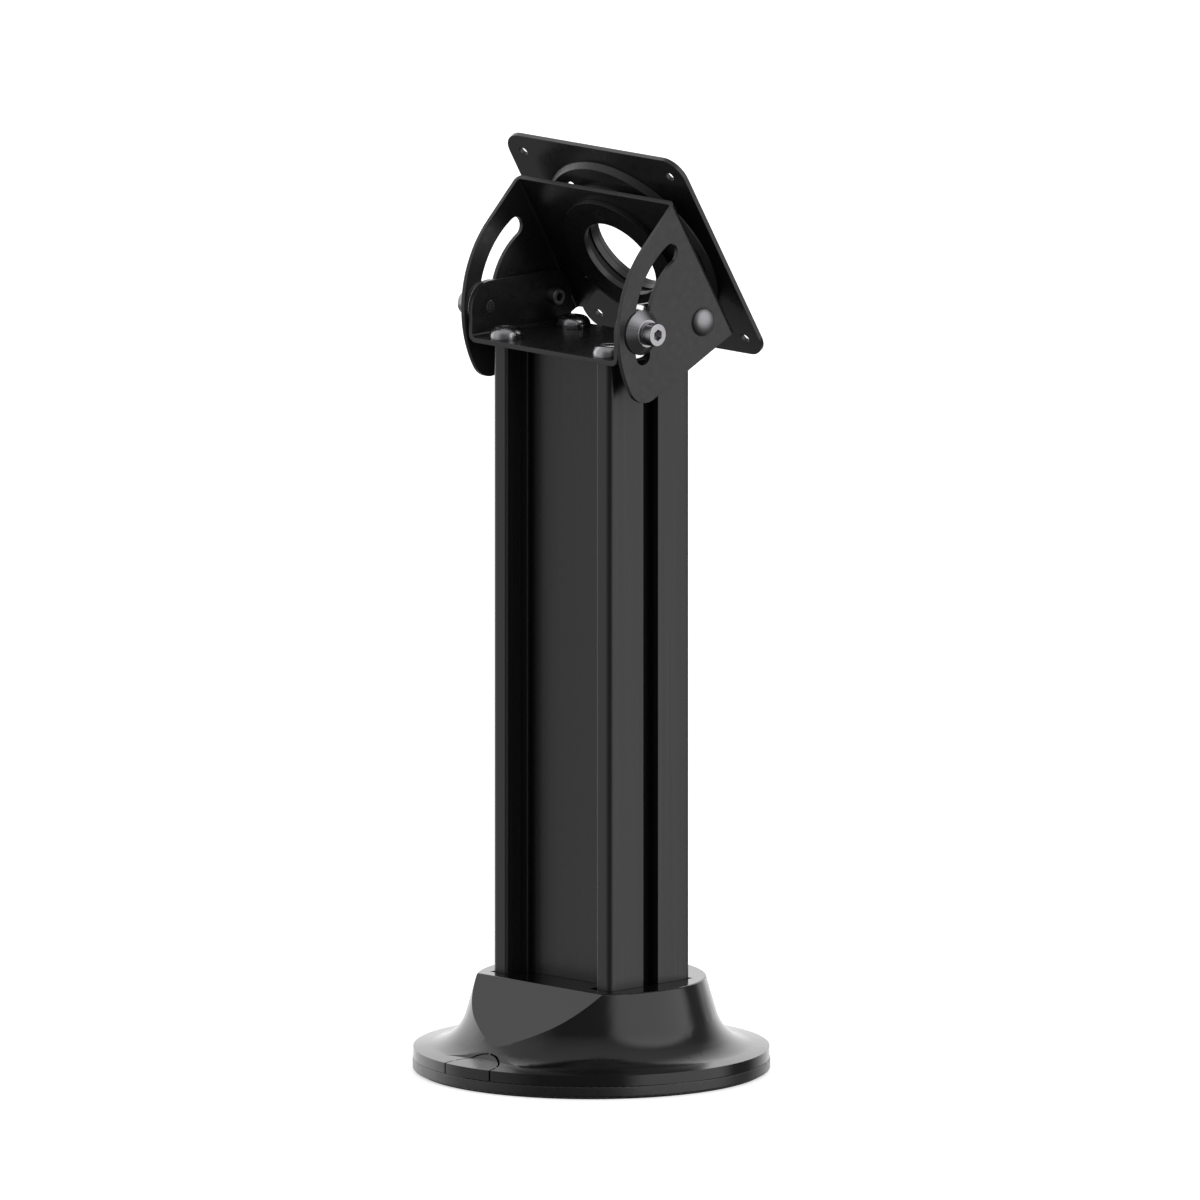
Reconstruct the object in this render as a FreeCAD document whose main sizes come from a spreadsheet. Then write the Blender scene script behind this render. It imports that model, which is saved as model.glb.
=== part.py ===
import FreeCAD, Part
import math
import os
import re

import Sketcher

# A counter-top stand for a screen. A round steel foot under a plastic skirt carries an
# aluminium column. A bent-sheet yoke on the column's top holds a tilting bracket between two
# pivots and two clamp screws, and a square plate with a 100 mm hole pattern turns on the
# bracket's back.
#
# Frame: millimetres, +Z up, origin at the centre of the foot's underside. +X runs along the
# tilt hinge, +Y is the side that the screen faces, -Y is the cable side.
# The head is drawn with its plate upright, about the tilt axis: +Y towards the screen, +Z up
# the plate. Its pieces are then tilted back about +X by rest_tilt and set on the pivots.

SIZES = {
    # foot
    "base_diameter": 173.0,
    "base_thickness": 5.5,
    "base_edge": 0.8,
    "pad_thickness": 1.0,
    "pad_inset": 2.5,
    "cable_hole": 22.0,
    "anchor_inset": 15.5,
    "anchor_hole": 6.6,
    "base_screw_head": 11.0,
    "base_screw_grip": 20.0,
    # skirt over the foot
    "cover_wall": 2.2,
    "cover_rim_inset": 0.3,
    "cover_rim_height": 5.2,
    "collar_land": 5.7,
    "collar_height": 46.3,
    "collar_edge": 1.0,
    "skirt_spread": 9.1,
    "skirt_foot_height": 14.5,
    "flare_radius": 22.0,
    "facet_inset": 20.3,
    "facet_run": 32.8,
    "facet_foot_height": 17.5,
    "column_gap": 0.7,
    "tab_radius": 15.6,
    "tab_inset": 1.8,
    "tab_gap": 0.9,
    "tab_bridge_lap": 0.25,
    # column
    "column_width": 81.2,
    "column_depth": 55.2,
    "column_corner": 3.3,
    "column_top": 355.0,
    "channel_mouth": 61.2,
    "channel_round": 1.4,
    "channel_width": 57.8,
    "channel_depth": 12.6,
    "groove_start": 4.6,
    "groove_width": 6.4,
    "hook_reach": 1.8,
    "hook_thickness": 1.0,
    "hook_round": 0.4,
    "undercut_width": 5.0,
    "undercut_depth": 1.4,
    "channel_floor": 2.8,
    "cavity_width": 56.0,
    "side_slot_mouth": 10.0,
    "side_slot_lip": 3.0,
    "side_slot_width": 17.0,
    "side_slot_depth": 9.0,
    "port_diameter": 5.2,
    "port_side": 5.3,
    "port_front": 4.85,
    "port_wall": 0.5,
    "window_width": 20.0,
    "window_height": 24.0,
    # yoke on the column
    "yoke_overhang": 10.25,
    "yoke_sheet": 2.45,
    "yoke_bend": 2.0,
    "pivot_inset": 5.6,
    "pivot_rise": 16.0,
    "clamp_inset": 7.3,
    "ear_round": 12.8,
    "dome_diameter": 17.0,
    "dome_height": 5.6,
    "dome_round": 4.2,
    "dome_socket": 5.0,
    "dome_socket_depth": 2.4,
    "dome_grip": 18.0,
    # tilting bracket
    "rest_tilt": 31.0,
    "bracket_sheet": 2.3,
    "bracket_bend": 1.5,
    "web_distance": 13.5,
    "web_margin": 5.0,
    "web_drop": 18.0,
    "web_lap": 2.7,
    "ear_margin": 14.7,
    "ear_corner": 12.0,
    "ear_foot_slope": 5.6,
    "slot_width": 9.4,
    "slot_first": 90.0,
    "slot_last": 165.0,
    "slide_gap": 0.1,
    "washer_thickness": 0.95,
    # pivots and clamps
    "pin_gap": 0.05,
    "pivot_head": 14.0,
    "pivot_dome": 3.6,
    "pivot_shoulder": 9.0,
    "pivot_thread": 8.0,
    "pivot_reach": 4.7,
    "pivot_bore": 4.0,
    "pivot_bore_depth": 4.5,
    "pivot_washer": 22.0,
    "friction_washer": 26.0,
    "cone_diameter": 22.0,
    "cone_rim": 0.8,
    "cone_length": 5.0,
    "cone_nose": 13.4,
    "cone_spigot": 9.0,
    "clamp_head": 11.3,
    "clamp_head_length": 6.5,
    "clamp_edge": 0.5,
    "clamp_socket": 5.0,
    "clamp_socket_depth": 3.5,
    "clamp_shank": 6.0,
    "insert_diameter": 10.0,
    # turning plate
    "glide_thickness": 2.2,
    "glide_gap": 0.5,
    "hub_outer": 60.5,
    "hub_wall": 5.6,
    "disc_margin": 9.3,
    "disc_slope": 2.0,
    "disc_rim": 0.6,
    "disc_thickness": 3.6,
    "plate_side": 120.0,
    "plate_corner": 11.0,
    "plate_thickness": 2.4,
    "bore_step": 0.85,
    "pattern": 100.0,
    "pattern_hole": 5.0,
    "ring_lap": 4.0,
    "ring_step": 2.95,
    "ring_thickness": 3.0,
    "ring_screw_head": 5.6,
    "ring_screw": 3.0,
    "ring_screw_grip": 4.0,
    "ring_socket": 1.5,
    "ring_socket_depth": 1.0,
    "plate_screw_gap": 1.2,
    "plate_screw_head": 7.6,
    "plate_screw": 4.0,
    "plate_screw_grip": 3.0,
    "plate_socket": 2.5,
    "plate_socket_depth": 1.3,
    "stop_offset": 11.75,
    "stop_angle": 210.0,
    "stop_pin": 3.6,
    "stop_head": 5.2,
    "stop_head_height": 0.8,
    "stop_depth": 2.4,
    "stop_slot": 4.0,
    "stop_margin": 0.5,
    "turn_range": 90.0,
}

CORNERS = [(1, 1), (-1, 1), (-1, -1), (1, -1)]
SCREW_COUNTS = {"base_screws": 4, "yoke_screws": 4, "ring_screws": 3, "plate_screws": 4}

doc = FreeCAD.newDocument("counter_stand")
sheet = doc.addObject("Spreadsheet::Sheet", "Dims")
for row, (alias, size) in enumerate(SIZES.items(), start=1):
    sheet.set(f"A{row}", alias)
    sheet.set(f"B{row}", str(size))
    sheet.setAlias(f"B{row}", alias)
doc.recompute()

# Heights above the counter, and places in the head's own frame, as formulas on the sheet.
BASE_TOP = "(pad_thickness + base_thickness)"
RIM_TOP = f"({BASE_TOP} + cover_rim_height)"
ANCHOR_CIRCLE = "(base_diameter - 2 * anchor_inset)"
COLLAR = "(sqrt((column_width / 2)^2 + (column_depth / 2)^2) + column_gap + collar_land)"
SKIRT_FOOT = f"({COLLAR} + skirt_spread)"
FACET_TOP = f"({COLLAR} - facet_inset)"
FACET_FOOT = f"({FACET_TOP} + facet_run)"
TAB_CENTRE = "(base_diameter / 2 - tab_inset)"
PIVOT_HEIGHT = "(column_top + pivot_rise)"
PIVOT_Y = "(column_depth / 2 - pivot_inset)"
CLAMP_Y = "(clamp_inset - column_depth / 2)"
CLAMP_REACH = f"({PIVOT_Y} - {CLAMP_Y})"
EAR_REACH = f"({CLAMP_REACH} + ear_margin)"
WEB_TOP = f"({EAR_REACH} + web_margin)"
SWIVEL_Z = f"(({WEB_TOP} - web_drop) / 2)"
FLOOR_Y = "(column_depth / 2 - channel_depth)"
CAVITY_Y = f"({FLOOR_Y} - channel_floor)"
PORT_X = "(column_width / 2 - port_side)"
PORT_Y = "(column_depth / 2 - port_front)"
YOKE_OUT = "(column_width / 2 + yoke_overhang)"
YOKE_IN = f"({YOKE_OUT} - yoke_sheet)"
EAR_IN = f"({YOKE_OUT} + washer_thickness + slide_gap)"
EAR_OUT = f"({EAR_IN} + bracket_sheet)"
CONE_FOOT = f"({EAR_OUT} + slide_gap)"
CLAMP_SEAT = f"({CONE_FOOT} + cone_length + slide_gap)"
WEB_FAR = "(web_distance + bracket_sheet)"
DISC_NEAR = f"({WEB_FAR} + glide_thickness + slide_gap)"
DISC_FAR = f"({DISC_NEAR} + disc_thickness)"
PLATE_FAR = f"({DISC_FAR} + plate_thickness)"
RING_FAR = "(web_distance - slide_gap)"
RING_NEAR = f"({RING_FAR} - ring_thickness)"
HUB_BORE = "(hub_outer - 2 * hub_wall)"
RING = "(hub_outer + 2 * ring_lap)"
RING_SCREWS = "(hub_outer - hub_wall)"
STOP_RADIUS = "(hub_outer / 2 + stop_offset)"
DISC = f"(2 * ({STOP_RADIUS} + disc_margin))"
PLATE_BORE = f"({HUB_BORE} - 2 * bore_step)"
PLATE_SCREWS = f"(2 * ({STOP_RADIUS} - stop_slot / 2 - plate_screw_gap) - plate_screw_head)"
GLIDE = f"(2 * {STOP_RADIUS} - stop_pin - 2 * glide_gap)"
PIN_X = f"({STOP_RADIUS} * cos(stop_angle))"
PIN_Z = f"({SWIVEL_Z} + {STOP_RADIUS} * sin(stop_angle))"


def formula(text):
    """Point each size that the text names at its cell in the sheet."""
    return re.sub(r"[a-z_]+", lambda word: f"Dims.{word[0]}" if word[0] in SIZES else word[0], text)


def bind(item, prop, text):
    item.setExpression(prop, formula(text))


def worth(text):
    """Work a formula out to a number, to find an edge by its place."""
    return float(sheet.evalExpression(formula(text)))


def place(item, at, turn=FreeCAD.Rotation()):
    """Set a turned item at a point whose three coordinates are formulas."""
    item.Placement = FreeCAD.Placement(FreeCAD.Vector(), turn)
    for axis, text in zip("xyz", at):
        bind(item, f"Placement.Base.{axis}", text)


AXES = {
    "x": FreeCAD.Rotation(FreeCAD.Vector(0, 1, 0), 90),
    "-x": FreeCAD.Rotation(FreeCAD.Vector(0, 1, 0), -90),
    "y": FreeCAD.Rotation(FreeCAD.Vector(1, 0, 0), -90),
    "-y": FreeCAD.Rotation(FreeCAD.Vector(1, 0, 0), 90),
    "z": FreeCAD.Rotation(),
    "-z": FreeCAD.Rotation(FreeCAD.Vector(1, 0, 0), 180),
}


def box(name, low, high):
    item = doc.addObject("Part::Box", name)
    for prop, axis, start, end in zip(("Length", "Width", "Height"), "xyz", low, high):
        bind(item, prop, f"({end}) - ({start})")
        bind(item, f"Placement.Base.{axis}", start)
    return item


def rod(name, diameter, length, at=("0", "0", "0"), along="z"):
    item = doc.addObject("Part::Cylinder", name)
    bind(item, "Radius", f"({diameter}) / 2")
    bind(item, "Height", length)
    place(item, at, AXES[along])
    return item


def cone(name, wide, narrow, length, at=("0", "0", "0"), along="z"):
    item = doc.addObject("Part::Cone", name)
    bind(item, "Radius1", f"({wide}) / 2")
    bind(item, "Radius2", f"({narrow}) / 2")
    bind(item, "Height", length)
    place(item, at, AXES[along])
    return item


def hexagon(name, across_flats, length, at, along):
    item = doc.addObject("Part::Prism", name)
    item.Polygon = 6
    bind(item, "Circumradius", f"({across_flats}) / 2 / cos(30)")
    bind(item, "Height", length)
    place(item, at, AXES[along])
    return item


def fuse(name, *pieces):
    if len(pieces) == 1:
        return pieces[0]
    item = doc.addObject("Part::MultiFuse", name)
    item.Shapes = list(pieces)
    return item


def cut(name, base, *tools):
    item = doc.addObject("Part::Cut", name)
    item.Base = base
    item.Tool = fuse(name + "_tools", *tools)
    return item


def overlap(name, first, second):
    """Keep what two shapes share."""
    item = doc.addObject("Part::MultiCommon", name)
    item.Shapes = [first, second]
    return item


def group(name, pieces):
    item = doc.addObject("Part::Compound", name)
    item.Links = list(pieces)
    return item


def edges_where(shape, test):
    """Number the edges whose middle point and edge pass a test."""
    picked = []
    for number, edge in enumerate(shape.Edges, start=1):
        middle = edge.valueAt((edge.FirstParameter + edge.LastParameter) / 2)
        if test(middle, edge):
            picked.append(number)
    return picked


def rounded(name, base, radius, test):
    """Round the edges of a Part object that pass a test."""
    doc.recompute()
    item = doc.addObject("Part::Fillet", name)
    item.Base = base
    item.Edges = [(number, radius, radius) for number in edges_where(base.Shape, test)]
    return item


def near(value, target):
    return abs(value - target) < 0.01


def is_round(edge, radius):
    """Tell whether an edge is part of a circle of a given radius."""
    return isinstance(edge.Curve, Part.Circle) and near(edge.Curve.Radius, radius)


# Sketches and bodies


def new_body(name):
    return doc.addObject("PartDesign::Body", name)


def new_sketch(body, name, role="XY_Plane", offset="0"):
    """Add a sketch to a body's own plane, lifted along the plane's normal."""
    sketch = body.newObject("Sketcher::SketchObject", name)
    plane = next(item for item in body.Origin.OriginFeatures if item.Role == role)
    sketch.AttachmentSupport = [(plane, "")]
    sketch.MapMode = "FlatFace"
    bind(sketch, "AttachmentOffset.Base.z", offset)
    return sketch


def pin_point(sketch, geometry, point, x_text, y_text):
    """Hold a point of a sketch at two formulas, measured from the origin."""
    for kind, text in (("DistanceX", x_text), ("DistanceY", y_text)):
        number = sketch.addConstraint(Sketcher.Constraint(kind, -1, 1, geometry, point, 1.0))
        bind(sketch, f"Constraints[{number}]", text)


def add_circle(sketch, diameter, x_text="0", y_text="0"):
    circle = Part.Circle(FreeCAD.Vector(), FreeCAD.Vector(0, 0, 1), 1.0)
    geometry = sketch.addGeometry(circle)
    number = sketch.addConstraint(Sketcher.Constraint("Diameter", geometry, 2.0))
    bind(sketch, f"Constraints[{number}]", diameter)
    if (x_text, y_text) == ("0", "0"):
        sketch.addConstraint(Sketcher.Constraint("Coincident", geometry, 3, -1, 1))
    else:
        pin_point(sketch, geometry, 3, x_text, y_text)


def add_polygon(sketch, corners):
    """Draw a closed outline whose corners are pairs of formulas."""
    count = len(corners)
    first = None
    for step in range(count):
        angle = 2 * math.pi * step / count
        after = 2 * math.pi * (step + 1) / count
        start = FreeCAD.Vector(math.cos(angle), math.sin(angle), 0)
        end = FreeCAD.Vector(math.cos(after), math.sin(after), 0)
        geometry = sketch.addGeometry(Part.LineSegment(start, end))
        first = geometry if first is None else first
    for step in range(count):
        after = first + (step + 1) % count
        sketch.addConstraint(Sketcher.Constraint("Coincident", first + step, 2, after, 1))
    for step, (x_text, y_text) in enumerate(corners):
        pin_point(sketch, first + step, 1, x_text, y_text)


def add_rectangle(sketch, width, height):
    signs = [(-1, -1), (1, -1), (1, 1), (-1, 1)]
    add_polygon(sketch, [(f"{x} * ({width}) / 2", f"{y} * ({height}) / 2") for x, y in signs])


def pad(body, sketch, length):
    item = body.newObject("PartDesign::Pad", sketch.Name + "_pad")
    item.Profile = sketch
    bind(item, "Length", length)
    body.Tip = item
    return item


def prism(name, role, start, length, corners):
    """Make a solid with a straight-sided outline on one of the origin's planes."""
    body = new_body(name)
    sketch = new_sketch(body, name + "_outline", role, start)
    add_polygon(sketch, corners)
    pad(body, sketch, length)
    return body


def revolve(body, sketch):
    """Turn a sketch on the XZ plane once round the body's Z axis."""
    item = body.newObject("PartDesign::Revolution", sketch.Name + "_turned")
    item.Profile = sketch
    item.ReferenceAxis = (sketch, ["V_Axis"])
    item.Angle = 360
    body.Tip = item
    return item


def soften(body, name, radius, test):
    """Round the edges of a body's last feature that pass a test."""
    doc.recompute()
    base = body.Tip
    item = body.newObject("PartDesign::Fillet", name)
    item.Base = (base, [f"Edge{number}" for number in edges_where(base.Shape, test)])
    bind(item, "Radius", radius)
    body.Tip = item
    return item


finished = {}


def finish(name, item, frame="stand"):
    """Label a finished sub-part, and tilt and lift it if it was drawn in the head's frame."""
    item.Label = name
    if frame == "head":
        item.Placement = FreeCAD.Placement(
            FreeCAD.Vector(), FreeCAD.Rotation(FreeCAD.Vector(1, 0, 0), 1))
        bind(item, "Placement.Rotation.Angle", "rest_tilt")
        bind(item, "Placement.Base.y", PIVOT_Y)
        bind(item, "Placement.Base.z", PIVOT_HEIGHT)
    finished[name] = item


# Foot


def port_places():
    """Give the four screw ports' places, where base and yoke screws go."""
    return [(f"{x} * {PORT_X}", f"{y} * {PORT_Y}") for x, y in CORNERS]


def anchor_places():
    turns = [45 + 90 * step for step in range(4)]
    return [(f"{ANCHOR_CIRCLE} / 2 * cos({turn})", f"{ANCHOR_CIRCLE} / 2 * sin({turn})")
            for turn in turns]


def make_base_pad():
    body = new_body("base_pad_body")
    sketch = new_sketch(body, "base_pad_outline")
    add_circle(sketch, "base_diameter - 2 * pad_inset")
    add_circle(sketch, "cable_hole")
    for x_text, y_text in port_places():
        add_circle(sketch, "base_screw_head + 1", x_text, y_text)
    for x_text, y_text in anchor_places():
        add_circle(sketch, "anchor_hole", x_text, y_text)
    pad(body, sketch, "pad_thickness")
    finish("base_pad", body)


def make_base_plate():
    body = new_body("base_plate_blank")
    sketch = new_sketch(body, "base_plate_outline", offset="pad_thickness")
    add_circle(sketch, "base_diameter")
    add_circle(sketch, "cable_hole")
    for x_text, y_text in anchor_places():
        add_circle(sketch, "anchor_hole", x_text, y_text)
    pad(body, sketch, "base_thickness")
    rim = SIZES["base_diameter"] / 2
    soften(body, "base_plate_edge", "base_edge", lambda middle, edge: is_round(edge, rim))
    sinks = []
    for step, (x_text, y_text) in enumerate(port_places()):
        at = (x_text, y_text, "pad_thickness")
        depth = "(base_screw_head - port_diameter) / 2"
        sinks.append(cone(f"base_sink_{step}", "base_screw_head", "port_diameter", depth, at))
        low = (x_text, y_text, "0")
        sinks.append(rod(f"base_bore_{step}", "port_diameter", f"{BASE_TOP} + 1", low))
    finish("base_plate", cut("base_plate_cut", body, *sinks))


def make_base_screws():
    screws = []
    for step, (x_text, y_text) in enumerate(port_places()):
        at = (x_text, y_text, "pad_thickness")
        depth = "(base_screw_head - port_diameter) / 2"
        length = "base_thickness + base_screw_grip"
        head = cone(f"base_screw_head_{step}", "base_screw_head", "port_diameter", depth, at)
        shank = rod(f"base_screw_shank_{step}", "port_diameter", length, at)
        socket = hexagon(f"base_screw_socket_{step}", "port_diameter * 0.7", "2", at, "z")
        screw = fuse(f"base_screw_body_{step}", head, shank)
        screws.append(cut(f"base_screw_{step}", screw, socket))
    finish("base_screws", group("base_screws_group", screws))


# Skirt


def skirt_blank(name, wall):
    """Make the skirt's solid form, or the form of its hollow when wall isn't nought."""
    rim = "(base_diameter / 2 - cover_rim_inset)"
    lean = "atan(skirt_spread / (collar_height - skirt_foot_height))"
    fall = f"atan((skirt_foot_height - {RIM_TOP}) / ({rim} - {SKIRT_FOOT}))"
    rim_corners = [
        (f"{rim} - {wall}", BASE_TOP),
        (f"{rim} - {wall}", f"{RIM_TOP} + {wall} * (tan({fall}) - 1 / cos({fall}))"),
    ]
    waist = f"(skirt_foot_height - {wall} * (cos({lean}) - sin({fall})) / cos({lean} + {fall}))"
    brim_run = f"(({rim} - {SKIRT_FOOT}) / cos({fall}) - cover_wall)"
    turn = f"((90 - {lean} / 1 deg - {fall} / 1 deg) / 2)"
    tall = new_body(name + "_tall")
    sketch = new_sketch(tall, name + "_tall_outline", "XZ_Plane")
    add_polygon(sketch, [
        ("0", BASE_TOP),
        *rim_corners,
        (f"{SKIRT_FOOT} - {wall} * (cos({fall}) - sin({lean})) / cos({lean} + {fall})", waist),
        (f"{COLLAR} + {wall} * (tan({lean}) - 1 / cos({lean}))",
         f"collar_height - {wall}"),
        ("0", f"collar_height - {wall}"),
    ])
    revolve(tall, sketch)
    level = worth(waist)
    soften(tall, name + "_flare", f"min(flare_radius; 0.9 * {brim_run} / tan({turn})) + {wall}",
           lambda middle, edge: isinstance(edge.Curve, Part.Circle) and near(middle.z, level))
    brim = new_body(name + "_brim")
    sketch = new_sketch(brim, name + "_brim_outline", "XZ_Plane")
    peak = f"{rim_corners[1][1]} + ({rim} - {wall}) * tan({fall})"
    add_polygon(sketch, [("0", BASE_TOP), *rim_corners, ("0", peak)])
    revolve(brim, sketch)
    sliced = cut(name + "_sliced", tall, facet_cutter(name + "_facet", wall))
    return fuse(name, sliced, brim)


def facet_cutter(name, wall):
    """Make the wedge that slices the flat facet off the skirt's cable side."""
    rise = "(collar_height - facet_foot_height)"
    shift_y = f"{wall} * sin(atan({rise} / facet_run))"
    shift_z = f"-{wall} * cos(atan({rise} / facet_run))"
    high = (f"-{FACET_TOP} + facet_run / 2 + {shift_y}", f"collar_height + {rise} / 2 + {shift_z}")
    low = (f"-{FACET_FOOT} - facet_run / 2 + {shift_y}", f"facet_foot_height - {rise} / 2 + {shift_z}")
    return prism(name, "YZ_Plane", "-base_diameter / 2", "base_diameter", [high, low, (low[0], high[1])])


def column_opening(name, gap):
    """Make the column's plain outline, with its channels and a gap all round."""
    body = new_body(name)
    sketch = new_sketch(body, name + "_outline", offset=BASE_TOP)
    out_x = f"(column_width / 2 + {gap})"
    out_y = f"(column_depth / 2 + {gap})"
    tongue = f"(channel_width / 2 - hook_reach - {gap})"
    floor = f"({FLOOR_Y} + {gap})"
    quarter = [(out_x, out_y), (tongue, out_y), (tongue, floor)]
    corners = []
    for x, y in CORNERS:
        points = quarter if x * y > 0 else quarter[::-1]
        corners += [(f"{x} * {x_text}", f"{y} * {y_text}") for x_text, y_text in points]
    add_polygon(sketch, corners)
    pad(body, sketch, "collar_height")
    return body


def make_skirt():
    """Make the skirt, and the arched tab that is cut from its brim for cables."""
    top = SIZES["collar_height"]
    solid = rounded("skirt_soft", skirt_blank("skirt_outside", "0"), SIZES["collar_edge"],
                    lambda middle, edge: near(middle.z, top))
    inside = skirt_blank("skirt_hollow", "cover_wall")
    shell = cut("skirt_shell", solid, inside, column_opening("skirt_opening", "column_gap"))
    centre = ("0", f"-{TAB_CENTRE}", "0")
    arch = rod("tab_opening", "2 * tab_radius", "collar_height", centre)
    tab_outline = rod("tab_outline", "2 * (tab_radius - tab_gap)", "collar_height", centre)
    bridges = []
    for step, turn in enumerate((20, 90, 160)):
        x_text = f"(tab_radius - tab_gap / 2) * cos({turn})"
        y_text = f"-{TAB_CENTRE} + (tab_radius - tab_gap / 2) * sin({turn})"
        bridges.append(rod(f"tab_bridge_{step}", "tab_gap + 2 * tab_bridge_lap", "collar_height",
                           (x_text, y_text, "0")))
    bridged = overlap("tab_bridged", fuse("tab_form", tab_outline, *bridges), arch)
    finish("base_cover", cut("base_cover_cut", shell, arch))
    finish("cable_tab", overlap("cable_tab_cut", shell, bridged))


# Column


def column_outline():
    """List a quarter of the column's outline, from its side slot to its channel."""
    side = "(column_width / 2)"
    front = "(column_depth / 2)"
    mouth = "(side_slot_mouth / 2)"
    slot = "(side_slot_width / 2)"
    lip = f"({side} - side_slot_lip)"
    deep = f"({side} - side_slot_depth)"
    edge = "(channel_mouth / 2)"
    wall = "(channel_width / 2)"
    groove = f"({PORT_X} - port_diameter / 2 - port_wall)"
    start = f"({front} - groove_start)"
    end = f"({start} - groove_width)"
    hook = f"({wall} - hook_reach)"
    heel = f"({end} - hook_thickness)"
    return [
        (deep, slot), (lip, slot), (lip, mouth), (side, mouth), (side, front), (edge, front),
        (edge, start), (groove, start), (groove, end), (hook, end), (hook, heel), (wall, heel),
        (wall, f"{FLOOR_Y} - undercut_depth"), (f"{wall} - undercut_width", f"{FLOOR_Y} - undercut_depth"),
        (f"{wall} - undercut_width", FLOOR_Y),
    ]


def make_column():
    body = new_body("column_blank")
    sketch = new_sketch(body, "column_outline", offset=BASE_TOP)
    corners = []
    for x, y in CORNERS:
        points = column_outline() if x * y > 0 else column_outline()[::-1]
        corners += [(f"{x} * ({x_text})", f"{y} * ({y_text})") for x_text, y_text in points]
    add_polygon(sketch, corners)
    add_rectangle(sketch, "cavity_width", f"2 * {CAVITY_Y}")
    for x_text, y_text in port_places():
        add_circle(sketch, "port_diameter", x_text, y_text)
    pad(body, sketch, f"column_top - {BASE_TOP}")
    face = SIZES["column_depth"] / 2
    hook_face = face - SIZES["groove_start"] - SIZES["groove_width"]
    hook_end = SIZES["channel_width"] / 2 - SIZES["hook_reach"]
    for name, x, y, size in (("column_corners", SIZES["column_width"] / 2, face, "column_corner"),
                             ("channel_rounds", SIZES["channel_mouth"] / 2, face, "channel_round"),
                             ("hook_rounds", hook_end, hook_face, "hook_round")):
        soften(body, name, size,
               lambda middle, edge, x=x, y=y: near(abs(middle.x), x) and near(abs(middle.y), y))
    window = box("column_window", ("-window_width / 2", f"-{FLOOR_Y} - 1", BASE_TOP),
                 ("window_width / 2", f"-{CAVITY_Y} + 1", f"{BASE_TOP} + window_height"))
    finish("column", cut("column_cut", body, window))


# Yoke


def make_yoke():
    front = f"({CLAMP_Y} - ear_round)"
    back = f"({PIVOT_Y} + ear_round)"
    high = f"({PIVOT_HEIGHT} + ear_round)"
    outer = box("yoke_outer", (f"-{YOKE_OUT}", front, "column_top"), (YOKE_OUT, back, high))
    inner = box("yoke_inner", (f"-{YOKE_IN}", f"{front} - 1", "column_top + yoke_sheet"),
                (YOKE_IN, f"{back} + 1", f"{high} + 1"))
    bend = SIZES["yoke_bend"]
    sheet_size = SIZES["yoke_sheet"]
    foot = SIZES["column_top"]
    half = worth(YOKE_OUT)
    outer = rounded("yoke_outer_bends", outer, bend + sheet_size,
                    lambda middle, edge: near(middle.z, foot) and near(abs(middle.x), half))
    inner = rounded("yoke_inner_bends", inner, bend,
                    lambda middle, edge: near(middle.z, foot + sheet_size)
                    and near(abs(middle.x), half - sheet_size))
    channel = cut("yoke_channel", outer, inner)
    wide = f"2 * {YOKE_OUT} + 2"
    left = f"-{YOKE_OUT} - 1"
    rounds = [rod(f"yoke_round_{step}", "2 * ear_round", wide, (left, y_text, PIVOT_HEIGHT), "x")
              for step, y_text in enumerate((PIVOT_Y, CLAMP_Y))]
    bridge = box("yoke_bridge", (left, CLAMP_Y, PIVOT_HEIGHT), (f"-({left})", PIVOT_Y, high))
    skirt = box("yoke_lower", (left, front, "column_top - 1"), (f"-({left})", back, PIVOT_HEIGHT))
    shape = overlap("yoke_shape", channel, fuse("yoke_side", *rounds, bridge, skirt))
    holes = [
        rod("yoke_pivot_hole", "pivot_thread", wide, (left, PIVOT_Y, PIVOT_HEIGHT), "x"),
        rod("yoke_clamp_hole", "insert_diameter", wide, (left, CLAMP_Y, PIVOT_HEIGHT), "x"),
    ]
    for step, (x_text, y_text) in enumerate(port_places()):
        at = (x_text, y_text, "column_top - 1")
        holes.append(rod(f"yoke_port_{step}", "port_diameter", "yoke_sheet + 2", at))
    finish("yoke", cut("yoke_cut", shape, *holes))


def domed_head(name, diameter, height, softness, at, along):
    """Make a screw head whose outer edge is rounded over."""
    head = rod(name, diameter, height, at, along)
    doc.recompute()
    base = head.Placement.Base
    lift = head.Placement.Rotation.multVec(FreeCAD.Vector(0, 0, head.Height.Value))
    return rounded(name + "_soft", head, softness,
                   lambda middle, edge: isinstance(edge.Curve, Part.Circle)
                   and near((edge.Curve.Center - base - lift).Length, 0))


def make_yoke_screws():
    screws = []
    top = "(column_top + yoke_sheet)"
    for step, (x_text, y_text) in enumerate(port_places()):
        at = (x_text, y_text, top)
        head = domed_head(f"dome_{step}", "dome_diameter", "dome_height", SIZES["dome_round"], at, "z")
        low = (x_text, y_text, f"{top} - dome_grip")
        shank = rod(f"dome_shank_{step}", "port_diameter", "dome_grip + 1", low)
        mouth = (x_text, y_text, f"{top} + dome_height - dome_socket_depth")
        socket = hexagon(f"dome_socket_{step}", "dome_socket", "dome_socket_depth + 1", mouth, "z")
        screws.append(cut(f"dome_screw_{step}", fuse(f"dome_body_{step}", head, shank), socket))
    finish("yoke_screws", group("yoke_screws_group", screws))


# Pivots and clamps: each is drawn on the right, and its twin is its mirror image.


def both_sides(name, item):
    """Finish a right-hand piece and its mirror image on the left."""
    mirror = doc.addObject("Part::Mirroring", name + "_mirror")
    mirror.Source = item
    mirror.Normal = FreeCAD.Vector(1, 0, 0)
    finish(name + "_right", item)
    finish(name + "_left", mirror)


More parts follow.
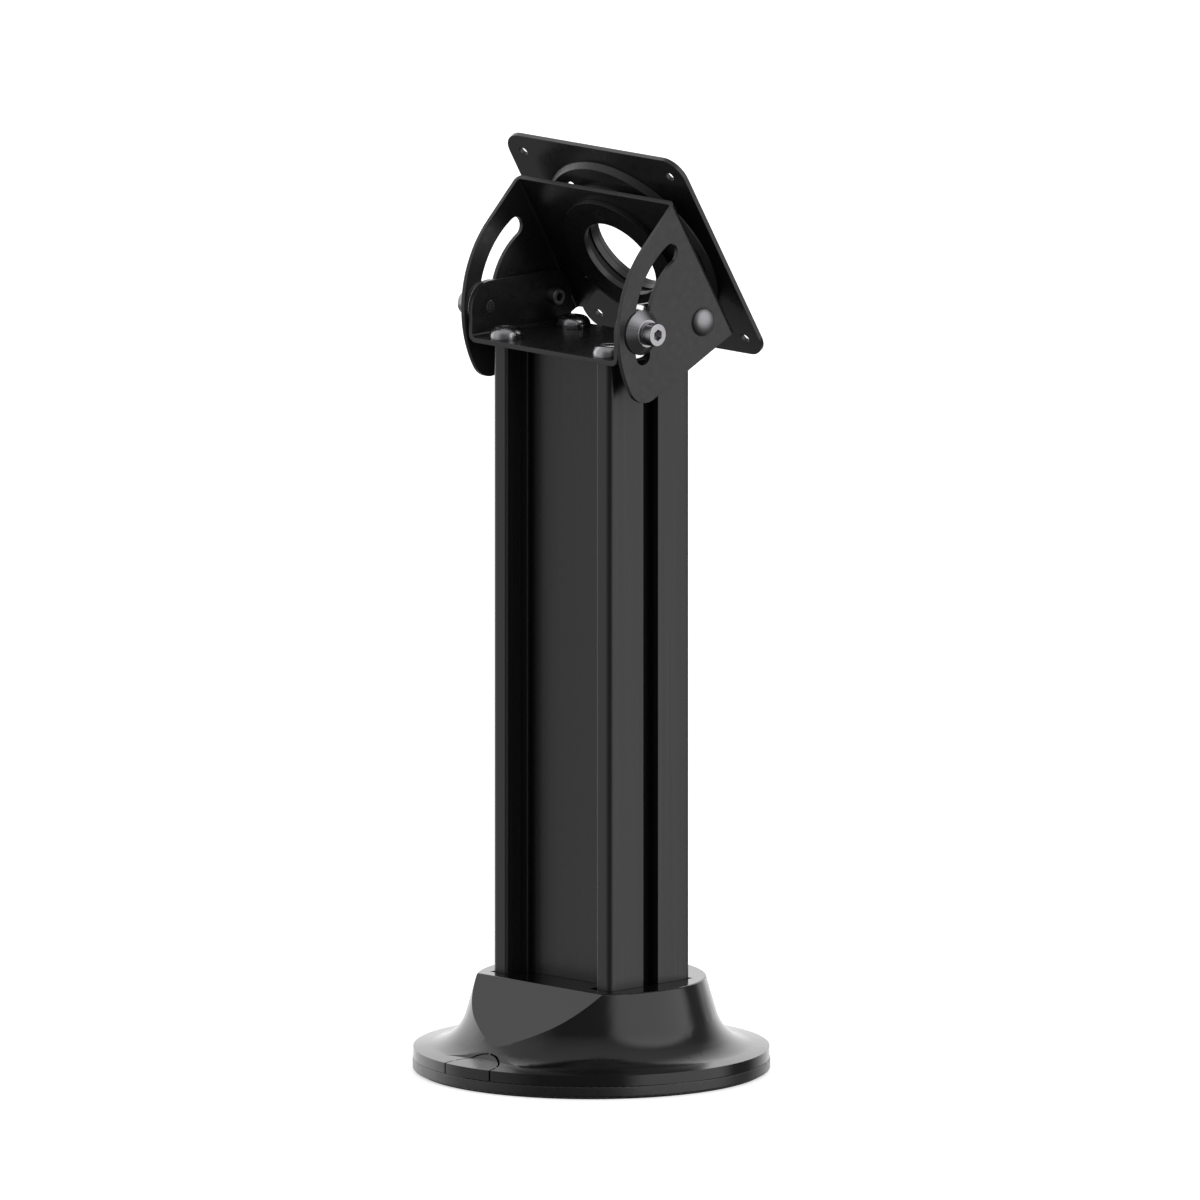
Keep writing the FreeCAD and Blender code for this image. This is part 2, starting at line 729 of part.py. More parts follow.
def make_washers():
    places = {"pivot_washer": (PIVOT_Y, "pivot_shoulder"), "friction_washer": (CLAMP_Y, "clamp_shank")}
    for name, (y_text, hole) in places.items():
        ring = rod(name + "_blank", name, "washer_thickness", (YOKE_OUT, y_text, PIVOT_HEIGHT), "x")
        start = (f"{YOKE_OUT} - 1", y_text, PIVOT_HEIGHT)
        bore = rod(name + "_bore", f"{hole} + 2 * pin_gap", "washer_thickness + 2", start, "x")
        both_sides(name, cut(name + "_cut", ring, bore))


def make_pivot_screws():
    seat = f"({EAR_OUT} + slide_gap)"
    inner_end = f"({YOKE_IN} - pivot_reach)"
    dome = doc.addObject("Part::Ellipsoid", "pivot_dome_form")
    bind(dome, "Radius1", "pivot_dome")
    bind(dome, "Radius2", "pivot_head / 2")
    bind(dome, "Radius3", "pivot_head / 2")
    dome.Angle1 = 0
    place(dome, (seat, PIVOT_Y, PIVOT_HEIGHT), AXES["x"])
    shoulder_start = (YOKE_OUT, PIVOT_Y, PIVOT_HEIGHT)
    shoulder = rod("pivot_shoulder_form", "pivot_shoulder", f"{seat} - {YOKE_OUT}", shoulder_start, "x")
    end = (inner_end, PIVOT_Y, PIVOT_HEIGHT)
    thread = rod("pivot_thread_form", "pivot_thread", f"{YOKE_OUT} - {inner_end}", end, "x")
    thread = rounded("pivot_thread_end", thread, 0.5,
                     lambda middle, edge: isinstance(edge.Curve, Part.Circle)
                     and middle.x < worth(YOKE_IN) - 1)
    start = (f"{inner_end} - 1", PIVOT_Y, PIVOT_HEIGHT)
    bore = rod("pivot_bore_form", "pivot_bore", "pivot_bore_depth + 1", start, "x")
    both_sides("pivot_screw", cut("pivot_screw_cut", fuse("pivot_form", dome, shoulder, thread), bore))


def make_clamps():
    def at(x_text):
        return (x_text, CLAMP_Y, PIVOT_HEIGHT)

    insert = rod("clamp_insert_blank", "insert_diameter", "yoke_sheet", at(YOKE_IN), "x")
    hole = rod("clamp_insert_hole", "clamp_shank + 2 * pin_gap", "yoke_sheet + 2",
               at(f"{YOKE_IN} - 1"), "x")
    both_sides("clamp_insert", cut("clamp_insert_cut", insert, hole))

    rim = rod("clamp_cone_rim", "cone_diameter", "cone_rim", at(CONE_FOOT), "x")
    flank = cone("clamp_cone_flank", "cone_diameter", "cone_nose", "cone_length - cone_rim",
                 at(f"{CONE_FOOT} + cone_rim"), "x")
    spigot_start = f"({YOKE_OUT} + washer_thickness)"
    spigot = rod("clamp_cone_spigot", "cone_spigot", f"{CONE_FOOT} - {spigot_start} + 1",
                 at(spigot_start), "x")
    bore = rod("clamp_cone_bore", "clamp_shank + 2 * pin_gap", "cone_length + bracket_sheet + 4",
               at(f"{spigot_start} - 1"), "x")
    both_sides("clamp_cone", cut("clamp_cone_cut", fuse("clamp_cone_form", rim, flank, spigot), bore))

    head = domed_head("clamp_head_form", "clamp_head", "clamp_head_length", SIZES["clamp_edge"],
                      at(CLAMP_SEAT), "x")
    shank = rod("clamp_shank_form", "clamp_shank", f"{CLAMP_SEAT} + 1 - {YOKE_IN}", at(YOKE_IN), "x")
    mouth = at(f"{CLAMP_SEAT} + clamp_head_length - clamp_socket_depth")
    socket = hexagon("clamp_socket_form", "clamp_socket", "clamp_socket_depth + 1", mouth, "x")
    both_sides("clamp_screw", cut("clamp_screw_cut", fuse("clamp_screw_form", head, shank), socket))


# Tilting bracket, in the head's frame


def ear_shape(start, length):
    """Make the ear's outline: a round about the pivot, a straight top edge and a rounded toe."""
    far = f"(2 * {EAR_REACH})"
    touch = f"(90 - atan({WEB_FAR} / {WEB_TOP}) / 1 deg"
    touch += f" + acos({EAR_REACH} / sqrt({WEB_FAR}^2 + {WEB_TOP}^2)) / 1 deg)"
    top = (f"{EAR_REACH} * cos({touch})", f"{EAR_REACH} * sin({touch})")
    disc = rod("ear_disc", f"2 * {EAR_REACH}", length, (start, "0", "0"), "x")
    top_part = prism("ear_top", "YZ_Plane", start, length,
                     [("0", "0"), (WEB_FAR, "-web_drop"), (WEB_FAR, WEB_TOP), top])
    limit = prism("ear_limit", "YZ_Plane", start, length,
                  [(WEB_FAR, "-web_drop"), (WEB_FAR, far), (f"-{far}", far),
                   (f"-{far}", f"({WEB_FAR} + {far}) * tan(ear_foot_slope) - web_drop")])
    shape = overlap("ear_sharp", fuse("ear_form", disc, top_part), limit)
    reach = worth(EAR_REACH)

    def is_toe(middle, edge):
        straight = isinstance(edge.Curve, Part.Line) and abs(edge.Curve.Direction.x) > 0.99
        return straight and near(math.hypot(middle.y, middle.z), reach) and middle.z < 0

    return rounded("ear", shape, SIZES["ear_corner"], is_toe)


def arc_slot(name, role, radius, width, turns, centre, start, length):
    """Make a cutter for a slot with round ends that follows an arc.

    On the YZ plane it starts at x = start and runs along +X, on the XZ plane it starts at
    y = start and runs along -Y. The turns are the arc's two ends, counted from the plane's
    own first axis.
    """
    sideways = role == "YZ_Plane"
    along = "x" if sideways else "-y"

    def spot(reach, turn):
        across = f"{centre[0]} + {reach} * cos({turn})"
        up = f"{centre[1]} + {reach} * sin({turn})"
        return across, up

    def at(point):
        return (start, point[0], point[1]) if sideways else (point[0], start, point[1])

    outer = rod(name + "_outer", f"2 * {radius} + {width}", length, at(centre), along)
    inner = rod(name + "_inner", f"2 * {radius} - {width}", length, at(centre), along)
    first, last = turns
    reach = [spot(f"2 * {radius}", turn) for turn in (first, f"({first} + {last}) / 2", last)]
    wedge = prism(name + "_wedge", role, start if sideways else f"-({start})", length, [centre, *reach])
    bend = overlap(name + "_bend", cut(name + "_ring", outer, inner), wedge)
    ends = [rod(f"{name}_end_{step}", width, length, at(spot(radius, turn)), along)
            for step, turn in enumerate(turns)]
    return fuse(name, bend, *ends)


def make_tilt_bracket():
    far_left = f"-{EAR_OUT} - 1"
    wide = f"2 * {EAR_OUT} + 2"
    outer = box("bracket_outer", (f"-{EAR_OUT}", f"-{EAR_REACH} - 1", "-web_drop - 5"),
                (EAR_OUT, WEB_FAR, f"{WEB_TOP} + 5"))
    inner = box("bracket_inner", (f"-{EAR_IN}", f"-{EAR_REACH} - 2", "-web_drop - 6"),
                (EAR_IN, "web_distance", f"{WEB_TOP} + 6"))
    half = worth(EAR_OUT)
    wall = SIZES["bracket_sheet"]
    web = SIZES["web_distance"]
    bend = SIZES["bracket_bend"]
    outer = rounded("bracket_outer_bends", outer, bend + wall,
                    lambda middle, edge: near(middle.y, web + wall) and near(abs(middle.x), half))
    inner = rounded("bracket_inner_bends", inner, bend,
                    lambda middle, edge: near(middle.y, web) and near(abs(middle.x), half - wall))
    shape = overlap("bracket_shape", cut("bracket_channel", outer, inner), ear_shape(far_left, wide))

    slot = arc_slot("clamp_slot", "YZ_Plane", CLAMP_REACH, "slot_width",
                    ("slot_first", "slot_last"), ("0", "0"), far_left, wide)
    pivots = rod("ear_pivot_holes", "pivot_shoulder + 2 * pin_gap", wide, (far_left, "0", "0"), "x")
    depth = "bracket_sheet + 2"
    near_web = "web_distance - 1"
    hub = rod("web_hub_hole", "hub_outer + 2 * pin_gap", depth, ("0", near_web, SWIVEL_Z), "y")
    pin = rod("web_pin_hole", "stop_pin", depth, (PIN_X, near_web, PIN_Z), "y")
    corner_x = f"({EAR_IN} - bracket_bend)"
    wedge = prism("web_notch", "XZ_Plane", f"-{WEB_FAR} - 1", depth,
                  [("0", SWIVEL_Z), (f"-{corner_x}", "-web_drop - 1"), (corner_x, "-web_drop - 1")])
    ring = rod("web_ring_form", f"{RING} + 2 * web_lap", depth, ("0", near_web, SWIVEL_Z), "y")
    notch = cut("web_notch_cut", wedge, ring)
    finish("tilt_bracket", cut("tilt_bracket_cut", shape, slot, pivots, hub, pin, notch), "head")


def make_stop_pin():
    shank = rod("stop_pin_shank", "stop_pin", f"{DISC_NEAR} + stop_depth - web_distance",
                (PIN_X, "web_distance", PIN_Z), "y")
    head = rod("stop_pin_head", "stop_head", "stop_head_height",
               (PIN_X, "web_distance - stop_head_height", PIN_Z), "y")
    finish("stop_pin", fuse("stop_pin_form", head, shank), "head")


def turning_ring(name, outer, inner, start, end):
    """Make a plain ring about the swivel's axis."""
    at = ("0", start, SWIVEL_Z)
    blank = rod(name + "_blank", outer, f"{end} - {start}", at, "y")
    bore = rod(name + "_bore", inner, f"{end} - {start} + 2",
               ("0", f"{start} - 1", SWIVEL_Z), "y")
    return cut(name + "_ring", blank, bore)


def spread(circle, turns):
    """List places about the swivel's axis on a circle, as pairs of formulas."""
    return [(f"{circle} / 2 * cos({turn})", f"{SWIVEL_Z} + {circle} / 2 * sin({turn})")
            for turn in turns]


def make_turning_pieces():
    """Make the pieces that turn on the bracket's back: hub, disc, rings, plate and screws."""
    screw_turns = (90, 210, 330)
    ring_places = spread(RING_SCREWS, screw_turns)
    plate_places = spread(PLATE_SCREWS, (45, 135, 225, 315))

    def holes(name, places, diameter, start, end):
        return [rod(f"{name}_{step}", diameter, f"{end} - {start}", (x_text, start, z_text), "y")
                for step, (x_text, z_text) in enumerate(places)]

    glide = turning_ring("glide", GLIDE, "hub_outer + 2 * pin_gap", WEB_FAR,
                         f"({WEB_FAR} + glide_thickness)")
    finish("glide_washer", glide, "head")

    hub = turning_ring("hub", "hub_outer", HUB_BORE, RING_FAR, DISC_NEAR)
    threads = holes("hub_thread", ring_places, "ring_screw", RING_FAR, f"{RING_FAR} + ring_screw_grip")
    finish("swivel_hub", cut("hub_cut", hub, *threads), "head")

    ring = turning_ring("retainer", RING, f"{HUB_BORE} - 2 * ring_step", RING_NEAR, RING_FAR)
    ring_sink = "(ring_screw_head - ring_screw) / 2"
    cutters = holes("ring_hole", ring_places, "ring_screw", RING_NEAR, RING_FAR)
    screws = []
    for step, (x_text, z_text) in enumerate(ring_places):
        at = (x_text, RING_NEAR, z_text)
        cutters.append(cone(f"ring_sink_{step}", "ring_screw_head", "ring_screw", ring_sink, at, "y"))
        shank = rod(f"ring_screw_{step}", "ring_screw", "ring_thickness + ring_screw_grip", at, "y")
        head = cone(f"ring_screw_head_{step}", "ring_screw_head", "ring_screw", ring_sink, at, "y")
        socket = hexagon(f"ring_socket_{step}", "ring_socket", "ring_socket_depth", at, "y")
        screws.append(cut(f"ring_screw_cut_{step}", fuse(f"ring_screw_form_{step}", head, shank), socket))
    finish("retaining_ring", cut("retainer_cut", ring, *cutters), "head")
    finish("ring_screws", group("ring_screws_group", screws), "head")

    slot_turns = ("stop_angle - turn_range - stop_margin", "stop_angle + stop_margin")
    slot = arc_slot("stop_slot_form", "XZ_Plane", STOP_RADIUS, "stop_slot", slot_turns,
                    ("0", SWIVEL_Z), f"{PLATE_FAR} + 1", "plate_thickness + disc_thickness + 2")
    flank = cone("disc_flank", f"{DISC} - 2 * disc_slope", DISC, "disc_thickness - disc_rim",
                 ("0", DISC_NEAR, SWIVEL_Z), "y")
    blank_rim = rod("disc_rim_form", DISC, "disc_rim", ("0", f"{DISC_FAR} - disc_rim", SWIVEL_Z), "y")
    bore = rod("disc_bore", PLATE_BORE, "disc_thickness + 2", ("0", f"{DISC_NEAR} - 1", SWIVEL_Z), "y")
    screw_end = f"({DISC_FAR} - plate_screw_grip)"
    threads = holes("disc_thread", plate_places, "plate_screw", screw_end, DISC_FAR)
    finish("swivel_disc", cut("disc_cut", fuse("disc_form", blank_rim, flank), bore, slot, *threads), "head")

    blank = box("plate_blank", ("-plate_side / 2", DISC_FAR, f"{SWIVEL_Z} - plate_side / 2"),
                ("plate_side / 2", PLATE_FAR, f"{SWIVEL_Z} + plate_side / 2"))
    half = SIZES["plate_side"] / 2
    middle_z = worth(SWIVEL_Z)
    blank = rounded("plate_corners", blank, SIZES["plate_corner"],
                    lambda middle, edge: near(abs(middle.x), half)
                    and near(abs(middle.z - middle_z), half))
    hole = ("0", f"{DISC_FAR} - 1", SWIVEL_Z)
    cutters = [rod("plate_bore_form", PLATE_BORE, "plate_thickness + 2", hole, "y"), slot]
    for step, (x, z) in enumerate(CORNERS):
        at = (f"{x} * pattern / 2", f"{DISC_FAR} - 1", f"{SWIVEL_Z} + {z} * pattern / 2")
        cutters.append(rod(f"pattern_hole_{step}", "pattern_hole", "plate_thickness + 2", at, "y"))
    screws = []
    for step, (x_text, z_text) in enumerate(plate_places):
        sink = "(plate_screw_head - plate_screw) / 2"
        cutters.append(cone(f"plate_sink_{step}", "plate_screw_head", "plate_screw", sink,
                            (x_text, PLATE_FAR, z_text), "-y"))
        cutters.append(rod(f"plate_hole_{step}", "plate_screw", "plate_thickness + 1",
                           (x_text, f"{DISC_FAR} - 1", z_text), "y"))
        head = cone(f"plate_head_{step}", "plate_screw_head", "plate_screw", sink,
                    (x_text, PLATE_FAR, z_text), "-y")
        shank = rod(f"plate_shank_{step}", "plate_screw", f"{PLATE_FAR} - {sink} - {screw_end}",
                    (x_text, screw_end, z_text), "y")
        mouth = (x_text, f"{PLATE_FAR} - plate_socket_depth", z_text)
        socket = hexagon(f"plate_socket_{step}", "plate_socket", "plate_socket_depth + 1", mouth, "y")
        screws.append(cut(f"plate_screw_{step}", fuse(f"plate_screw_form_{step}", head, shank), socket))
    finish("mount_plate", cut("plate_cut", blank, *cutters), "head")
    finish("plate_screws", group("plate_screws_group", screws), "head")


def export_all():
    """Check every state and shape, and write each finished sub-part to its own file."""
    doc.recompute()
    for item in doc.Objects:
        if {"Invalid", "Error"} & set(item.State):
            raise RuntimeError(f"{item.Name} didn't rebuild: {item.State}")
    os.makedirs("parts", exist_ok=True)
    for name, item in finished.items():
        if item.Shape.isNull() or not item.Shape.isValid():
            raise RuntimeError(f"{name} has no valid shape")
        if len(item.Shape.Solids) != SCREW_COUNTS.get(name, 1):
            raise RuntimeError(f"{name} has {len(item.Shape.Solids)} solids")
        item.Shape.exportStep(f"parts/{name}.step")


make_base_pad()
make_base_plate()
make_base_screws()
make_skirt()
make_column()
make_yoke()
make_yoke_screws()
make_washers()
make_pivot_screws()
make_clamps()
make_tilt_bracket()
make_stop_pin()
make_turning_pieces()
export_all()
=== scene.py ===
"""A counter stand for a screen: round covered foot, column, yoke, tilting bracket and turning plate."""

import logging
import math
from contextlib import contextmanager
from dataclasses import dataclass, field
from enum import Enum
from typing import Iterator

import bpy
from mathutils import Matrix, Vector

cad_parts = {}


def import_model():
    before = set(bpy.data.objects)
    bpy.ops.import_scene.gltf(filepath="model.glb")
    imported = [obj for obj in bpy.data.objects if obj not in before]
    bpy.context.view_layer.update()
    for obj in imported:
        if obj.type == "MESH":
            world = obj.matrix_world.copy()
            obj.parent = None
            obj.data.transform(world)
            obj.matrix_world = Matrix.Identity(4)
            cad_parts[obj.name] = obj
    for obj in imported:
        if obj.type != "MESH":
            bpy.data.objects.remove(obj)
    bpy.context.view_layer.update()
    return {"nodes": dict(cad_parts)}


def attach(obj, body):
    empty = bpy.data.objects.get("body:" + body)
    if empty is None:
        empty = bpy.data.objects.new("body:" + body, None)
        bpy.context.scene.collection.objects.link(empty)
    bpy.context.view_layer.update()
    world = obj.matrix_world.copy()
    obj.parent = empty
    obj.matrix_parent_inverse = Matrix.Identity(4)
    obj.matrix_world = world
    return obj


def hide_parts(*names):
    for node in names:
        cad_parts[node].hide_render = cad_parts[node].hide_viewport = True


LOG = logging.getLogger("stand")
MM = 0.001
SHARP_TURN = 32.0
SMOOTH_TURN = 35.0
FLAT_TURN = 0.4
MERGE_DISTANCE = 0.002 * MM
EASE_SEGMENTS = 2
FLATNESS_WEIGHT = 90

Colour = tuple[float, float, float]


class Body(Enum):
    """The rigid bodies that pieces ride on."""

    STAND = "stand"
    COVER = "cover"
    TILT = "tilt"
    SWIVEL = "swivel"
    CLAMP_LEFT = "clamp_left"
    CLAMP_RIGHT = "clamp_right"


class Side(Enum):
    """The two ends of the hinge line."""

    LEFT = "left"
    RIGHT = "right"


# Finishes


def new_material(name: str) -> tuple[bpy.types.Material, bpy.types.ShaderNodeTree, bpy.types.ShaderNode]:
    """Make an empty node material.

    Args:
        name: What the finish is called.

    Returns:
        The material, its node tree and its Principled shader.
    """
    material = bpy.data.materials.new(name)
    material.use_nodes = True
    tree = material.node_tree
    shader = tree.nodes["Principled BSDF"]
    return material, tree, shader


def add_noise(tree: bpy.types.ShaderNodeTree, scale: float, stretch: Vector = Vector((1, 1, 1)),
              detail: float = 4.0) -> bpy.types.NodeSocket:
    """Add a noise pattern fixed to the piece.

    Args:
        tree: The material's nodes.
        scale: Grains per metre along each axis.
        stretch: How much closer the grains are along each axis.
        detail: How many finer layers the noise has.

    Returns:
        The noise's grey value.
    """
    place = tree.nodes.new("ShaderNodeTexCoord")
    mapping = tree.nodes.new("ShaderNodeMapping")
    mapping.inputs["Scale"].default_value = stretch
    noise = tree.nodes.new("ShaderNodeTexNoise")
    noise.inputs["Scale"].default_value = scale
    noise.inputs["Detail"].default_value = detail
    tree.links.new(place.outputs["Object"], mapping.inputs["Vector"])
    tree.links.new(mapping.outputs["Vector"], noise.inputs["Vector"])
    return noise.outputs["Fac"]


def add_range(tree: bpy.types.ShaderNodeTree, value: bpy.types.NodeSocket, low: float,
              high: float, start: float = 0.3, end: float = 0.7) -> bpy.types.NodeSocket:
    """Spread a grey value over a range.

    Args:
        tree: The material's nodes.
        value: The grey value that comes in.
        low: The result at and below start.
        high: The result at and above end.
        start: The grey value that gives low.
        end: The grey value that gives high.

    Returns:
        The spread value.
    """
    node = tree.nodes.new("ShaderNodeMapRange")
    node.inputs["From Min"].default_value = start
    node.inputs["From Max"].default_value = end
    node.inputs["To Min"].default_value = low
    node.inputs["To Max"].default_value = high
    tree.links.new(value, node.inputs["Value"])
    return node.outputs["Result"]


def combine(tree: bpy.types.ShaderNodeTree, operation: str, first: bpy.types.NodeSocket,
            second: bpy.types.NodeSocket | float) -> bpy.types.NodeSocket:
    """Add or multiply two values.

    Args:
        tree: The nodes that hold them.
        operation: Name of the sum, as Blender has it.
        first: The first value.
        second: The second value, or a plain number.

    Returns:
        The result.
    """
    node = tree.nodes.new("ShaderNodeMath")
    node.operation = operation
    tree.links.new(first, node.inputs[0])
    if isinstance(second, float):
        node.inputs[1].default_value = second
    else:
        tree.links.new(second, node.inputs[1])
    return node.outputs["Value"]


def add_tint(tree: bpy.types.ShaderNodeTree, value: bpy.types.NodeSocket, dark: Colour,
             light: Colour) -> bpy.types.NodeSocket:
    """Turn a grey value into a colour between two.

    Args:
        tree: The material's nodes.
        value: The grey value that picks the colour.
        dark: The colour at 0.35 and below.
        light: The colour at 0.65 and above.

    Returns:
        The colour.
    """
    ramp = tree.nodes.new("ShaderNodeValToRGB")
    ramp.color_ramp.elements[0].position = 0.35
    ramp.color_ramp.elements[0].color = (*dark, 1)
    ramp.color_ramp.elements[1].position = 0.65
    ramp.color_ramp.elements[1].color = (*light, 1)
    tree.links.new(value, ramp.inputs["Fac"])
    return ramp.outputs["Color"]


def add_bump(tree: bpy.types.ShaderNodeTree, height: bpy.types.NodeSocket, depth: float,
             strength: float, under: bpy.types.NodeSocket | None = None) -> bpy.types.NodeSocket:
    """Raise the surface where a grey value is light.

    Args:
        tree: The material's nodes.
        height: The grey value.
        depth: Height of the relief in metres.
        strength: How much of it shows, up to 1.
        under: A coarser relief that this one lies on.

    Returns:
        The bent normal.
    """
    bump = tree.nodes.new("ShaderNodeBump")
    bump.inputs["Distance"].default_value = depth
    bump.inputs["Strength"].default_value = strength
    tree.links.new(height, bump.inputs["Height"])
    if under is not None:
        tree.links.new(under, bump.inputs["Normal"])
    return bump.outputs["Normal"]


@dataclass(frozen=True)
class PowderCoat:
    """Baked matte powder: fine orange peel, with a slightly cloudy sheen."""

    name: str = "black_powder_coat"
    dark: Colour = (0.013, 0.013, 0.014)
    light: Colour = (0.017, 0.017, 0.018)
    roughness: float = 0.31
    sheen_spread: float = 0.05
    cloud: float = 22.0
    haze: float = 260.0
    grain: float = 1400.0
    depth: float = 0.05 * MM
    relief: float = 0.35

    def build(self) -> bpy.types.Material:
        """Make the material."""
        material, tree, shader = new_material(self.name)
        cloud = add_noise(tree, self.cloud)
        tree.links.new(add_tint(tree, cloud, self.dark, self.light), shader.inputs["Base Color"])
        peel = add_noise(tree, self.grain, detail=2.0)
        haze = add_noise(tree, self.haze)
        low, high = self.roughness - self.sheen_spread, self.roughness + self.sheen_spread
        spread = add_range(tree, haze, low, high)
        tree.links.new(spread, shader.inputs["Roughness"])
        tree.links.new(add_bump(tree, peel, self.depth, self.relief), shader.inputs["Normal"])
        return material


@dataclass(frozen=True)
class ExtrusionCoat:
    """Thin matte coat on an extrusion, with faint die lines along its length."""

    name: str = "black_extrusion_coat"
    dark: Colour = (0.013, 0.013, 0.014)
    light: Colour = (0.017, 0.017, 0.018)
    roughness: float = 0.30
    sheen_spread: float = 0.04
    cloud: float = 12.0
    lines: float = 900.0
    line_depth: float = 0.02 * MM
    line_relief: float = 0.25
    grain: float = 1500.0
    grain_depth: float = 0.03 * MM
    grain_relief: float = 0.3

    def build(self) -> bpy.types.Material:
        """Make the material."""
        material, tree, shader = new_material(self.name)
        cloud = add_noise(tree, self.cloud, Vector((1, 1, 0.25)))
        tree.links.new(add_tint(tree, cloud, self.dark, self.light), shader.inputs["Base Color"])
        lines = add_noise(tree, self.lines, Vector((1, 1, 0.006)), detail=3.0)
        grain = add_noise(tree, self.grain, detail=2.0)
        low, high = self.roughness - self.sheen_spread, self.roughness + self.sheen_spread
        spread = add_range(tree, lines, low, high)
        tree.links.new(spread, shader.inputs["Roughness"])
        drawn = add_bump(tree, lines, self.line_depth, self.line_relief)
        rough = add_bump(tree, grain, self.grain_depth, self.grain_relief, drawn)
        tree.links.new(rough, shader.inputs["Normal"])
        return material


@dataclass(frozen=True)
class MouldedPlastic:
    """Moulded plastic, from a polished cover to a dull washer."""

    name: str
    colour: Colour
    roughness: float
    specular: float = 0.5
    texture: float = 0.01 * MM
    relief: float = 0.25
    cloud: float = 30.0
    haze: float = 45.0
    flow: float = 700.0

    def build(self) -> bpy.types.Material:
        """Make the material."""
        material, tree, shader = new_material(self.name)
        dark = tuple(part * 0.85 for part in self.colour)
        light = tuple(part * 1.2 for part in self.colour)
        cloud = add_noise(tree, self.cloud)
        tree.links.new(add_tint(tree, cloud, dark, light), shader.inputs["Base Color"])
        haze = add_noise(tree, self.haze, detail=6.0)
        spread = add_range(tree, haze, self.roughness * 0.85, self.roughness * 1.15)
        tree.links.new(spread, shader.inputs["Roughness"])
        flow = add_noise(tree, self.flow, detail=3.0)
        tree.links.new(add_bump(tree, flow, self.texture, self.relief), shader.inputs["Normal"])
        shader.inputs["Specular IOR Level"].default_value = self.specular
        return material


@dataclass(frozen=True)
class TurnedMetal:
    """Machined steel under a thin plating, with fine tool marks."""

    name: str
    colour: Colour
    roughness: float
    metallic: float = 1.0
    mottle: float = 0.9
    stain: float = 160.0
    marks: float = 2600.0
    mark_depth: float = 0.01 * MM
    mark_relief: float = 0.15

    def build(self) -> bpy.types.Material:
        """Make the material."""
        material, tree, shader = new_material(self.name)
        dark = tuple(part * self.mottle for part in self.colour)
        stain = add_noise(tree, self.stain)
        tree.links.new(add_tint(tree, stain, dark, self.colour), shader.inputs["Base Color"])
        marks = add_noise(tree, self.marks, Vector((0.15, 1, 1)), detail=3.0)
        spread = add_range(tree, marks, self.roughness - 0.03, self.roughness + 0.04)
        tree.links.new(spread, shader.inputs["Roughness"])
        tree.links.new(add_bump(tree, marks, self.mark_depth, self.mark_relief), shader.inputs["Normal"])
        shader.inputs["Metallic"].default_value = self.metallic
        return material


Finish = PowderCoat | ExtrusionCoat | MouldedPlastic | TurnedMetal

POWDER = PowderCoat()
EXTRUSION = ExtrusionCoat()
COVER_GLOSS = MouldedPlastic("gloss_cover_plastic", (0.005, 0.005, 0.0052), 0.17)
NYLON = MouldedPlastic("dark_nylon", (0.02, 0.02, 0.021), 0.45, texture=0.02 * MM)
RUBBER = MouldedPlastic("foot_rubber", (0.018, 0.018, 0.018), 0.75, 0.3, texture=0.06 * MM)
PLATED = TurnedMetal("plated_steel", (0.42, 0.41, 0.43), 0.26)
BRIGHT_WASHER = TurnedMetal("bright_washer_steel", (0.86, 0.86, 0.87), 0.2)
SATIN_NICKEL = TurnedMetal("satin_nickel", (0.29, 0.285, 0.295), 0.44)
DOME_NICKEL = TurnedMetal("dome_nickel", (0.36, 0.35, 0.365), 0.24)
BLACK_OXIDE = TurnedMetal("black_oxide_steel", (0.022, 0.022, 0.024), 0.34, metallic=0.0, mottle=0.8)
# Swivel hub finish: near-black and dull, darker than the powder coat. This is painted shade for the shadowed
# gap around the hub bore.
HUB_PAINTED_SHADE = MouldedPlastic("hub_black_painted_shade", (0.004, 0.004, 0.0045), 0.5, 0.25)


class Palette:
    """Builds each finish once."""

    def __init__(self) -> None:
        """Start with no finish made."""
        self.made: dict[str, bpy.types.Material] = {}

    def get(self, finish: Finish) -> bpy.types.Material:
        """Give a finish's material, made on first use."""
        if finish.name not in self.made:
            self.made[finish.name] = finish.build()
        return self.made[finish.name]


# Workshop: the ways in which pieces are shaped


def pick_only(piece: bpy.types.Object) -> None:
    """Select one object and make it the active one."""
    bpy.ops.object.select_all(action="DESELECT")
    piece.select_set(True)
    bpy.context.view_layer.objects.active = piece


@contextmanager
def editing(piece: bpy.types.Object) -> Iterator[None]:
    """Hold a piece in edit mode with all of it selected."""
    pick_only(piece)
    bpy.ops.object.mode_set(mode="EDIT")
    bpy.ops.mesh.select_all(action="SELECT")
    yield
    bpy.ops.object.mode_set(mode="OBJECT")


def apply_all(piece: bpy.types.Object) -> None:
    """Apply a piece's modifiers in order."""
    pick_only(piece)
    for modifier in list(piece.modifiers):
        bpy.ops.object.modifier_apply(modifier=modifier.name)


def ease_edges(piece: bpy.types.Object, width: float, angle: float) -> None:
    """Break a piece's sharp edges with a small round.

    Args:
        piece: The piece, in object mode.
        width: Width of the round in metres.
        angle: The least turn in degrees that counts as sharp.
    """
    bevel = piece.modifiers.new("eased_edges", "BEVEL")
    bevel.width = width
    bevel.segments = EASE_SEGMENTS
    bevel.limit_method = "ANGLE"
    bevel.angle_limit = math.radians(angle)
    bevel.use_clamp_overlap = True
    bevel.miter_outer = "MITER_ARC"
    apply_all(piece)


def smooth(piece: bpy.types.Object) -> None:
    """Shade a piece smooth, except across its sharp turns."""
    pick_only(piece)
    bpy.ops.object.shade_smooth_by_angle(angle=math.radians(SMOOTH_TURN))


def level_normals(piece: bpy.types.Object) -> None:
    """Keep a piece's broad flats flat in shading, and let only its eased edges turn."""
    weigh = piece.modifiers.new("level_normals", "WEIGHTED_NORMAL")
    weigh.keep_sharp = True
    weigh.weight = FLATNESS_WEIGHT
    apply_all(piece)


